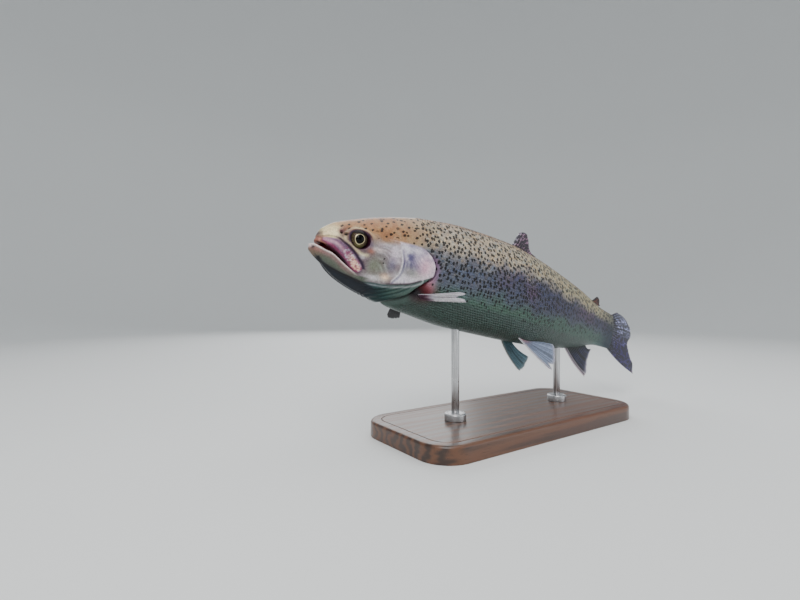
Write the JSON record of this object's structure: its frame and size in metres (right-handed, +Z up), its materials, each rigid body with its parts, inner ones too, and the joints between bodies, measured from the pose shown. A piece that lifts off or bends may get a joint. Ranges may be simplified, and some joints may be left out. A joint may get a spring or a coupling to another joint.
{
  "type": "rainbow trout",
  "caption": "Life-size adult rainbow trout, swimming nose up with its tail bent a little to its right, held over a flat wooden base by short steel rods.",
  "frame": {"origin": "centre of the stand base's underside, which rests on the floor", "axes": "+X from the fish's snout towards its tail, -Y the fish's left side, +Z up"},
  "size_m": [0.5041, 0.132, 0.2146],
  "materials": {
    "trout_skin": "wet-looking gloss over fine scales",
    "trout_fins": "semi-gloss, ribbed",
    "trout_eyes": "high gloss",
    "stand_wood": "satin varnish",
    "stand_steel": "satin"
  },
  "bodies": {
    "root": {"head": "trout_skin", "lower_jaw": "trout_skin", "throat": "trout_skin", "trunk_front": "trout_skin", "trunk_rear": "trout_skin", "tail": "trout_skin", "gill_cover_left": "trout_skin", "gill_cover_right": "trout_skin", "upper_jaw_bone_left": "trout_skin", "upper_jaw_bone_right": "trout_skin", "dorsal_fin": "trout_fins", "adipose_fin": "trout_fins", "anal_fin": "trout_fins", "caudal_fin": "trout_fins", "pectoral_fin_left": "trout_fins", "pectoral_fin_right": "trout_fins", "pelvic_fin_left": "trout_fins", "pelvic_fin_right": "trout_fins", "eye_left": "trout_eyes", "eye_right": "trout_eyes", "stand_base": "stand_wood", "stand_rod_front": "stand_steel", "stand_rod_rear": "stand_steel", "stand_collar_front": "stand_steel", "stand_collar_rear": "stand_steel"}
  },
  "joints": []
}
